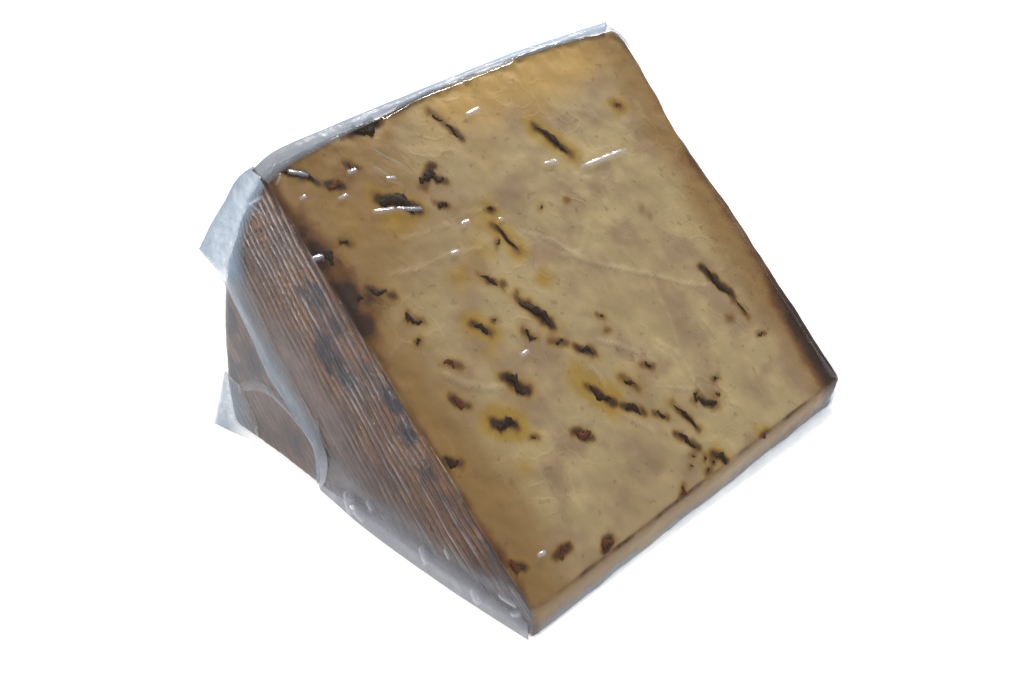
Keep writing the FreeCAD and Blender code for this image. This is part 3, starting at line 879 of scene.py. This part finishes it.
def film_finish(name, colours, gloss, ribs=False):
    """Clear film: it mirrors at its surface, and its milky parts follow the haze mask.

    With ribs it is drawn into the ribs of the flat faces and mirrors in streaks there.
    """
    finish = Finish(name)
    place = finish.place()
    x, y, z = finish.axes(place)
    smear = finish.noise(place, 0.006, 3.0, 0.6)
    drawn = finish.noise(finish.join(x * 0.18, y, z), 0.0016, 2.0, 0.6)
    haze = (finish.mask("haze") * (smear * 0.9 + drawn * 0.6 + 0.25)).least(0.97)
    clear = finish.node("ShaderNodeBsdfTransparent")
    tone = finish.mask("tone")
    tint = finish.mix(tone.least(1.0), colours.film, colours.film_grey)
    # A tone above 1 paints the milky film pale, as a painted highlight
    tint = finish.mix((tone - 1.0).most(0.0), tint, colours.painted_film_highlight)
    milky = finish.principled(Base_Color=tint, Roughness=0.6, Specular_IOR_Level=0.1)
    body = finish.blend(haze, clear, milky)
    height = smear * 0.6 + drawn * 0.1
    if ribs:
        turns = finish.mask("turns")
        rows = finish.join(x, turns * ROW_SIZE, y * 0.05)
        streaks = finish.noise(rows, 0.0008, 3.0, 0.65)
        height = height + finish.mask("ribbed") * (streaks * 0.9 + turns.wave() * 0.5)
    normal = finish.bump(height, BUMP, 0.9)
    mirror = finish.node("ShaderNodeBsdfGlossy", {}, {"Roughness": 0.12, "Normal": normal})
    facing = finish.node("ShaderNodeLayerWeight", {}, {"Blend": 0.5}, "Facing")
    shine = ((facing.power(5.0) * 0.96 + 0.04) * gloss * finish.mask("shine")).least(1.0)
    return finish.show(finish.blend(shine, body, mirror))


# ---- operators ----


def ends_of(row):
    """Ends and width of a flake or bit."""
    centre, length, width, turn = row[:4]
    run = Vector((math.cos(math.radians(turn)), math.sin(math.radians(turn)))) * length / 2
    return (centre[0] - run.x, centre[1] - run.y), (centre[0] + run.x, centre[1] + run.y), width


def distance_to_run(across, up, a, b):
    """Distance in mm from places to a straight run."""
    ax, ay = a
    run = np.array([b[0] - ax, b[1] - ay])
    share = ((across - ax) * run[0] + (up - ay) * run[1]) / max(run @ run, 1e-9)
    share = np.clip(share, 0, 1)
    return np.hypot(across - ax - share * run[0], up - ay - share * run[1])


def herb_masks(skin, warp):
    """Brown stain and yellow halo round each herb, and the soft stains."""
    stain, halo = skin.empty(), skin.empty()
    flakes = [(*ends_of(row), *row[4:]) for row in FLAKES + RED_BITS]
    for first, last, width, brown, yellow in (*NEEDLES, *flakes):
        away = distance_to_run(skin.across, skin.up, first, last) - 0.25 * width + warp
        stain = np.maximum(stain, (0.45 + 0.55 * brown) * (1 - fade(away, -0.7, 1.7)))
        reach = 2.8 + 2.8 * yellow
        halo = np.maximum(halo, (0.45 + 0.7 * yellow) * (1 - fade(away, -0.5, reach)))
    for centre, radius, brown, yellow in STAINS:
        away = np.hypot(skin.across - centre[0], skin.up - centre[1]) + warp * 1.5
        stain = np.maximum(stain, brown * (1 - fade(away, -0.2 * radius, 1.1 * radius)))
        halo = np.maximum(halo, yellow * (1 - fade(away, -0.2 * radius, 1.3 * radius)))
    return stain * skin.on_upper, halo * skin.on_upper


def seam_mask(skin, warp):
    """Pale seams between the curds."""
    seam = skin.empty()
    for line, half_width, strength in CURD_SEAMS:
        for first, last in zip(line, line[1:]):
            away = distance_to_run(skin.across, skin.up, first, last) + 0.5 * warp
            seam = np.maximum(seam, strength * (1 - fade(away, 0, 1.4 * half_width)))
    return seam * skin.on_upper


def mould_mask(skin, warp):
    """Grey-blue mould on the flat faces."""
    mould = skin.empty()
    for centre, radius, strength in MOULD:
        away = np.hypot(skin.along - centre[0], skin.height - centre[1]) + 2 * warp
        mould = np.maximum(mould, strength * (1 - fade(away, 0.2 * radius, 1.3 * radius)))
    return mould * skin.on_flat


def ochre_mask(skin, slow, on_tip):
    """Ochre paste near the first flat face, the rear corner, the far edge and the tip."""
    left = 1 - fade(skin.across + 5 * slow, 0, 25)
    corner = (1 - fade(skin.across + 6 * slow, 10, 52)) * fade(skin.up + 6 * slow, 48, 84)
    right = fade(skin.across + 3 * slow, 88, 104)
    ochre = np.maximum(np.maximum(0.98 * left, 0.90 * corner), 0.90 * right)
    tip_ochre = on_tip * (0.55 + 0.5 * fade(skin.height, 1, 7) + 0.4 * slow)
    return np.maximum(ochre * skin.near_upper, tip_ochre)


def golden_mask(skin, slow):
    """Golden paste below the rear rim."""
    golden = fade(skin.up + 4 * slow, 82, 101) * fade(skin.across, 28, 60)
    brim = fade(skin.up + 3 * slow, 92, 99) * (1 - fade(skin.across, 26, 44))
    return np.maximum(golden, brim) * skin.on_upper


def rim_and_edge_shade_mask(skin, on_tip):
    """Dried brown rim of the upper cut face and of the tip, and a thin painted shade along the edge
    above the tip.
    """
    dark = skin.noise(6, 7, 2)
    start = np.interp(skin.up, UP_STATIONS, RIGHT_START)
    right = fade(skin.across, start, start + 7.5) * np.interp(skin.up, UP_STATIONS, RIGHT_LEVEL)
    width = np.interp(skin.up, UP_STATIONS, LEFT_WIDTH)
    left = (1 - fade(skin.across, 0.0, width)) * np.interp(skin.up, UP_STATIONS, LEFT_LEVEL)
    rear = fade(skin.up, 97.5, 102.0) * (1 - 0.7 * fade(skin.across, 40, 62))
    # tip: a thin dark line along the edge above the tip, painted shade of that edge
    tip = 1 - fade(np.abs(skin.up + 0.7), 0.1, 0.9)
    edge = skin.near_upper * (1 - fade(skin.across, 0.0, 1.2))
    rim = right * (1 + 0.35 * dark)
    for share, level, unevenness in (
        (left, 0.8, 0.9), (rear, 0.34, 0.5), (tip, 0.42, 0.5), (edge, 0.45, 0.4),
    ):
        rim = np.maximum(rim, share * (level + unevenness * dark))
    return np.maximum(rim * skin.near_upper, on_tip * fade(skin.across, 98, 106) * 0.8)


class CHEESE_OT_wedge(bpy.types.Operator):
    """Make the cheese, with its ribs, curd and rind"""

    bl_idname = "cheese.make_wedge"
    bl_label = "Cheese Wedge"

    def execute(self, context):
        form = Wedge(context.scene.cheese_sizes)
        colours = context.scene.cheese_colours
        mesh = mesh_of("cheese_wedge", wedge_grid(form, CHEESE_CUTS))
        skin = Surface(form, mesh, 0.0)
        on_rind = (1 - skin.on_flat) * fade(skin.outward[:, 1], 0.3, 0.8)
        on_tip = fade(-skin.outward[:, 1], 0.75, 0.95)
        ragged = skin.noise(3.2, 5, 2)
        relief = slow_swell(skin.points) + 0.20 * skin.noise(6, 2, 3)
        relief += on_rind * 0.5 * skin.noise(9, 4, 3)
        relief -= fade(skin.up, 95, 101) * skin.on_upper * np.maximum(ragged, 0)
        lowest = form.sizes.film_gap + 0.05 * MM
        from_array(mesh, skin.raised(relief, 0.5, ragged, lowest))
        warp = 0.9 * skin.noise(2.5, 6, 2)
        slow = skin.noise(14, 8, 2)
        stain, halo = herb_masks(skin, warp)
        for name, values in (
            ("stain", stain), ("halo", halo), ("ochre", ochre_mask(skin, slow, on_tip)),
            ("golden", golden_mask(skin, slow)), ("rim", rim_and_edge_shade_mask(skin, on_tip)),
            ("seam", seam_mask(skin, warp)), ("mould", mould_mask(skin, warp)),
            ("ribbed", skin.ribbed), ("turns", skin.turns),
        ):
            add_mask(mesh, name, values)
        finishes = [paste_finish(colours), rind_finish(colours, form)]
        finish_piece("cheese_wedge", mesh, finishes, replaces=True)
        return {"FINISHED"}


def add_leaf(build, form, a, b, width, seed, sharp):
    """Adds one leaf or bit that lies in the upper cut face, from a to b."""
    a, b = Vector(a), Vector(b)
    run = b - a
    side = Vector((-run.y, run.x)).normalized()
    made = bmesh.ops.create_icosphere(build, subdivisions=4, radius=1.0)
    for vert in made["verts"]:
        share, beside, height = vert.co
        sample = Vector((share * run.length / 2, beside * width / 2, seed * 9)) / 0.9
        ragged = noise.fractal(sample, 0.8, 2.0, 3)
        round_off = (1 - abs(share) ** 1.6) if sharp else 1.0
        beside = beside * (width / 2) * (0.25 + 0.42 * round_off) * (1 + 1.1 * ragged)
        bend = width * 0.3 * math.sin(share * 2.6 + seed)
        share *= 1 + 0.22 * noise.noise(Vector((seed, beside * 1.5, share)))
        place = (a + b) / 2 + run * share * 0.44 + side * (beside + bend)
        lift = 0.08 + 0.07 * height * (1 + 0.8 * ragged)
        vert.co = form.on_cut(place.x, place.y, lift)


def make_herbs(name, rows, finish, form, sharp):
    """Makes one piece of a kind of herb, from the ends and width of each."""
    build = bmesh.new()
    for number, (first, last, width) in enumerate(rows):
        add_leaf(build, form, first, last, width, number * 1.7 + len(rows), sharp)
    for face in build.faces:
        face.smooth = True
    finish_piece(name, mesh_of(name, build), [finish])


class CHEESE_OT_herbs(bpy.types.Operator):
    """Make the herbs that lie in the upper cut face"""

    bl_idname = "cheese.make_herbs"
    bl_label = "Herbs"

    def execute(self, context):
        form = Wedge(context.scene.cheese_sizes)
        colours = context.scene.cheese_colours
        dark = herb_finish("dried_leaf", colours.herb, colours.herb_pale)
        red = herb_finish("red_bit", colours.red_bit, colours.stain)
        make_herbs("herb_needles", [row[:3] for row in NEEDLES], dark, form, True)
        make_herbs("herb_flakes", [ends_of(row) for row in FLAKES], dark, form, False)
        make_herbs("red_bits", [ends_of(row) for row in RED_BITS], red, form, False)
        return {"FINISHED"}


class CHEESE_OT_film(bpy.types.Operator):
    """Make the film that is drawn tight over the cheese"""

    bl_idname = "cheese.make_film"
    bl_label = "Film"

    def execute(self, context):
        form = Wedge(context.scene.cheese_sizes)
        colours = context.scene.cheese_colours
        mesh = mesh_of("film_skin", wedge_grid(form, FILM_CUTS))
        skin = Surface(form, mesh, form.sizes.film_gap)
        relief = slow_swell(skin.points) + FILM_SLACK
        from_array(mesh, skin.raised(relief, 0.40, 0.3, 0.04 * MM))
        slow = skin.noise(9, 9, 2)
        loose = fade(np.clip(-skin.lift, 0, 80) + 7 * slow, 20, 44) * 0.06
        low = fade(14 - skin.height + 3 * slow, 0, 8) * (1 - fade(skin.along, 58, 74))
        foot = 1 - fade(skin.height, 1.5, 5.0)
        foot *= 1 - fade(np.abs(skin.outward[:, 2]), 0.3, 0.7)
        milky_foot = foot * (0.10 + 0.25 * (1 - fade(skin.across, 0, 40))) * (1 - skin.on_flat)
        haze = np.maximum(skin.on_flat * np.maximum(0.015 + loose, 0.40 * low), milky_foot)
        # Low on the flat faces the tone rises above 1, which paints the film paler there as a
        # painted highlight
        for name, values in (
            ("haze", np.clip(haze, 0, 0.8)), ("shine", skin.empty() + 1.0),
            ("tone", (0.8 + 0.4 * low) * skin.on_flat + 0.4 * foot),
            ("ribbed", skin.ribbed), ("turns", skin.turns),
        ):
            add_mask(mesh, name, values)
        finish = film_finish("clear_film", colours, 0.9, ribs=True)
        finish_piece("film_skin", mesh, [finish, finish], replaces=True)
        return {"FINISHED"}


def along_line(points, share):
    """Point on a smooth line through points, at a share of its spans."""
    last = len(points) - 1
    at = min(max(share, 0) * last, last - 1e-6)
    first = int(at)
    t = at - first
    before, here = points[max(first - 1, 0)], points[first]
    there, after = points[first + 1], points[min(first + 2, last)]
    return (
        here * 2 + (there - before) * t + (before * 2 - here * 5 + there * 4 - after) * t * t
        + (here * 3 - before - there * 3 + after) * t * t * t
    ) / 2


def add_sheet(build, columns, rows, place, looks, thickness):
    """Adds a thin closed sheet of film.

    place and looks each take a share along and a share across, from 0 to 1. looks gives the sheet's
    opacity, its shine and its tone.
    """
    made = bmesh.ops.create_grid(build, x_segments=columns, y_segments=rows, size=0.5)
    layers = [build.verts.layers.float[name] for name in FILM_MASKS]
    for vert in made["verts"]:
        along, beside = vert.co.x + 0.5, vert.co.y + 0.5
        opacity, *others = looks(along, beside)
        one_side = 1 - math.sqrt(1 - opacity)
        for layer, value in zip(layers, (one_side, *others)):
            vert[layer] = value
        vert.co = place(along, beside)
    faces = list(dict.fromkeys(face for vert in made["verts"] for face in vert.link_faces))
    bmesh.ops.solidify(build, geom=faces, thickness=thickness)


def add_strip(build, rails, columns, rows, looks, thickness, crumple=0.0, seed=0):
    """Adds a strip of gathered film through rails, which are rows of points along it."""
    def place(along, beside):
        point = along_line([along_line(rail, along) for rail in rails], beside)
        if crumple:
            sample = point / (7 * MM) + Vector((seed, 0, 0))
            inward = 0.25 + 0.75 * math.sin(math.pi * beside)
            point = point + noise.noise_vector(sample) * crumple * inward * MM
        return point

    add_sheet(build, columns, rows, place, looks, thickness)


def new_film_build():
    """Bmesh with room for the film's masks."""
    build = bmesh.new()
    for name in FILM_MASKS:
        build.verts.layers.float.new(name)
    return build


def order_faces(build):
    """Sorts the faces by their corners, because solidify adds its walls in a chance order."""
    build.verts.index_update()
    ordered = sorted(build.faces, key=lambda face: sorted(vert.index for vert in face.verts))
    for rank, face in enumerate(ordered):
        face.index = rank
    build.faces.sort()


def finish_film(name, build, finish):
    order_faces(build)
    """Makes the piece of a bmesh of film."""
    bmesh.ops.recalc_face_normals(build, faces=build.faces)
    for face in build.faces:
        face.smooth = True
    finish_piece(name, mesh_of(name, build), [finish])


def add_ridge(build, lifted, ends, width, height, opacity, tone):
    """Adds a narrow ridge of film between two places.

    lifted gives the point of a place on a face at a lift above the film.
    """
    ends = [Vector(end) for end in ends]
    run = ends[1] - ends[0]
    side = Vector((-run.y, run.x)).normalized()

    def profile(along, beside):
        return math.sin(math.pi * beside) ** 2 * math.sin(math.pi * along) ** 0.6

    def place(along, beside):
        here = along_line(ends, along) + side * (beside - 0.5) * width
        return lifted(here.x, here.y, 0.03 + height * profile(along, beside))

    def looks(along, beside):
        share = profile(along, beside)
        return opacity * share, 0.6 * share, tone

    add_sheet(build, RIDGE_COLUMNS, RIDGE_ROWS, place, looks, RIDGE_WALL * MM)


class CHEESE_OT_creases(bpy.types.Operator):
    """Make the small folds and wrinkles of the tight film"""

    bl_idname = "cheese.make_creases"
    bl_label = "Film Creases"

    def execute(self, context):
        form = Wedge(context.scene.cheese_sizes)
        build = new_film_build()

        def over_cut(across, up, lift):
            return form.on_cut(across, up, form.skin_lift(across, up) + lift)

        def over_flat(along, height, lift):
            hem = 2.0 * (1 - float(fade(height, 1, 8))) * (1 - float(fade(along, 52, 66)))
            return form.on_flat(along, height, 0.3 + hem + lift)

        for lifted, table, looks in (
            (over_cut, GLINTS, GLINT_LOOKS), (over_cut, WRINKLES, WRINKLE_LOOKS),
            (over_flat, FLAT_FOLDS, FLAT_FOLD_LOOKS),
        ):
            for first, last, width, height in table:
                add_ridge(build, lifted, (first, last), width, height, *looks)
        finish = film_finish("creased_film", context.scene.cheese_colours, 2.2)
        finish_film("film_creases", build, finish)
        return {"FINISHED"}


def ear_looks(along, beside):
    """Ear at the rear corner, which clears towards the cheese and down the fold below it."""
    lower = float(fade(along, 0.34, 0.5))
    solid = 0.80 + 0.08 * float(fade(beside, 0.5, 0.9))
    solid += (0.42 - solid) * lower
    edge = float(fade(beside, 0.82, 0.97)) * 0.40 * lower
    opacity = (solid + edge) * float(fade(beside, -0.05, 0.35 + 0.25 * lower))
    return opacity, 0.08 + 0.3 * lower, 0.25


def standing_looks(along, beside):
    """Standing fold, more opaque towards its foot, where its tone paints a pale highlight."""
    return 0.45 + 0.50 * along, 0.6, 0.9 + 0.8 * along


def crease_looks(along, beside):
    """Faint crease over the pocket."""
    opacity = 0.22 * math.sin(math.pi * beside) * math.sin(math.pi * along) ** 0.5
    return opacity, 0.3, 0.3


def seam_looks(opacity, clearing):
    """Flattened seam. clearing is how much of it clears away from its first end."""
    def looks(along, beside):
        share = float(fade(beside, -0.1, 0.4)) * (1 - clearing * float(fade(along, 0.1, 0.25)))
        return opacity * share, 0.1, 0.95 - 0.45 * along

    return looks


def hem_looks(opacity, soft, clearing, tone):
    """Hem at the table. soft is the share of its width over which its first edge clears."""
    def looks(along, beside):
        share = float(fade(beside, 0.0, soft)) if soft else 1 - 0.8 * beside
        share *= 1 - clearing * float(fade(beside, 0.45, 1.0))
        return opacity * share, 0.5, tone

    return looks


class CHEESE_OT_folds(bpy.types.Operator):
    """Make the gathered film: the seam, web, ears, hems and standing fold"""

    bl_idname = "cheese.make_folds"
    bl_label = "Film Folds"

    def execute(self, context):
        form = Wedge(context.scene.cheese_sizes)
        thickness = form.sizes.film_thickness
        build = new_film_build()
        noise.seed_set(CRUMPLE_SEED)

        def on_flat(table):
            return [[form.on_flat(*place) for place in rail] for rail in zip(*table)]

        add_strip(build, on_flat(EAR_AND_FOLD), 130, 16, ear_looks, thickness, 0.4, 1)
        add_strip(build, on_flat(STANDING_FOLD), 40, 8, standing_looks, thickness)
        for seed, table, opacity, clearing in ((2, REAR_SEAM, 0.96, 0), (3, SIDE_WEB, 0.65, 0.75)):
            inner = [form.on_cut(*row[0], 0.45) for row in table]
            middle = [form.on_cut(*Vector(row[0]).lerp(Vector(row[1]), 0.5), 0.3) for row in table]
            outer = [form.on_cut(*row[1], -0.4) for row in table]
            looks = seam_looks(opacity, clearing)
            add_strip(build, [inner, middle, outer], 120, 6, looks, thickness, 0.25, seed)
        ridge = [
            [form.on_flat(along, height + offset, lift) for along, height in POCKET_CREASE]
            for offset, lift in ((-1.4, 0.35), (0, 0.7), (1.2, 0.35))
        ]
        add_strip(build, ridge, 50, 8, crease_looks, thickness, 0.3, 4)
        # The side hem's tone of 1.25 paints it partly pale, as a painted highlight
        for seed, table, looks in (
            (5, FOOT_EAR, hem_looks(0.80, 0.3, 1, 0.4)),
            (6, FRONT_HEM, hem_looks(0.65, 0.0, 0, 0.0)),
            (7, SIDE_HEM, hem_looks(0.93, 0.6, 0, 1.25)),
        ):
            rails = [[form.place(*place) for place in rail] for rail in zip(*table)]
            add_strip(build, rails, 20 * len(table), 8, looks, thickness, 0.2, seed)
        for vert in build.verts:
            vert.co.z = max(vert.co.z, 0.03 * MM)
        finish = film_finish("gathered_film", context.scene.cheese_colours, 1.2)
        finish_film("film_folds", build, finish)
        return {"FINISHED"}


class CHEESE_OT_stage(bpy.types.Operator):
    """Make the pale floor, the lights and the camera"""

    bl_idname = "cheese.make_stage"
    bl_label = "Stage"

    def execute(self, context):
        scene = context.scene
        scene.view_settings.view_transform = "Standard"
        build = bmesh.new()
        bmesh.ops.create_grid(build, x_segments=1, y_segments=1, size=FLOOR_SIZE)
        bmesh.ops.translate(build, verts=build.verts, vec=(0, 0, -FLOOR_DROP))
        mesh = mesh_of("floor", build)
        floor = bpy.data.objects.new("floor", mesh)
        scene.collection.objects.link(floor)
        finish = Finish("pale_floor")
        white = (1.0, 1.0, 1.0, 1.0)
        mesh.materials.append(finish.show(finish.principled(
            Base_Color=(0.3, 0.3, 0.3), Roughness=0.9, Emission_Color=white, Emission_Strength=1.0,
        )))
        world = bpy.data.worlds.new("studio")
        scene.world = world
        world.use_nodes = True
        sky = world.node_tree.nodes["Background"]
        sky.inputs["Color"].default_value = SKY_COLOUR
        sky.inputs["Strength"].default_value = SKY_STRENGTH
        for name, toward, size, radiance in LIGHTS:
            lamp = bpy.data.lights.new(name, "AREA")
            lamp.shape = "RECTANGLE"
            lamp.size, lamp.size_y = size, size
            lamp.energy = radiance * math.pi * size * size
            light = bpy.data.objects.new(name, lamp)
            scene.collection.objects.link(light)
            toward = Vector(toward).normalized()
            light.location = Vector(LIGHT_AIM) + toward * LIGHT_DISTANCE
            light.rotation_euler = toward.to_track_quat("Z", "Y").to_euler()
        camera_data = bpy.data.cameras.new("camera")
        camera_data.lens, camera_data.sensor_width = LENS, SENSOR
        camera_data.clip_start, camera_data.clip_end = 0.01, 20.0
        camera = bpy.data.objects.new("camera", camera_data)
        scene.collection.objects.link(camera)
        camera.matrix_world = Matrix.Translation(CAMERA_PLACE)
        for turn, axis in CAMERA_TURNS:
            camera.matrix_world = camera.matrix_world @ Matrix.Rotation(math.radians(turn), 4, axis)
        scene.camera = camera
        return {"FINISHED"}


class CHEESE_PT_panel(bpy.types.Panel):
    """Sizes, colours and pieces of the sealed cheese"""

    bl_idname = "CHEESE_PT_panel"
    bl_label = "Sealed Cheese"
    bl_space_type = "VIEW_3D"
    bl_region_type = "UI"
    bl_category = "Cheese"

    def draw(self, context):
        layout = self.layout
        for group in (context.scene.cheese_sizes, context.scene.cheese_colours):
            box = layout.box()
            for name in group.__annotations__:
                box.prop(group, name)
        for piece in PIECES:
            layout.operator(piece.bl_idname)


PIECES = (
    CHEESE_OT_wedge, CHEESE_OT_herbs, CHEESE_OT_film, CHEESE_OT_creases, CHEESE_OT_folds,
    CHEESE_OT_stage,
)
CLASSES = (CheeseSizes, CheeseColours, *PIECES, CHEESE_PT_panel)


def register():
    for each in CLASSES:
        bpy.utils.register_class(each)
    bpy.types.Scene.cheese_sizes = bpy.props.PointerProperty(type=CheeseSizes)
    bpy.types.Scene.cheese_colours = bpy.props.PointerProperty(type=CheeseColours)


def unregister():
    del bpy.types.Scene.cheese_colours
    del bpy.types.Scene.cheese_sizes
    for each in reversed(CLASSES):
        bpy.utils.unregister_class(each)


def main():
    register()
    bpy.ops.cheese.make_wedge()
    bpy.ops.cheese.make_herbs()
    bpy.ops.cheese.make_film()
    bpy.ops.cheese.make_creases()
    bpy.ops.cheese.make_folds()
    bpy.ops.cheese.make_stage()


if __name__ == "__main__":
    main()
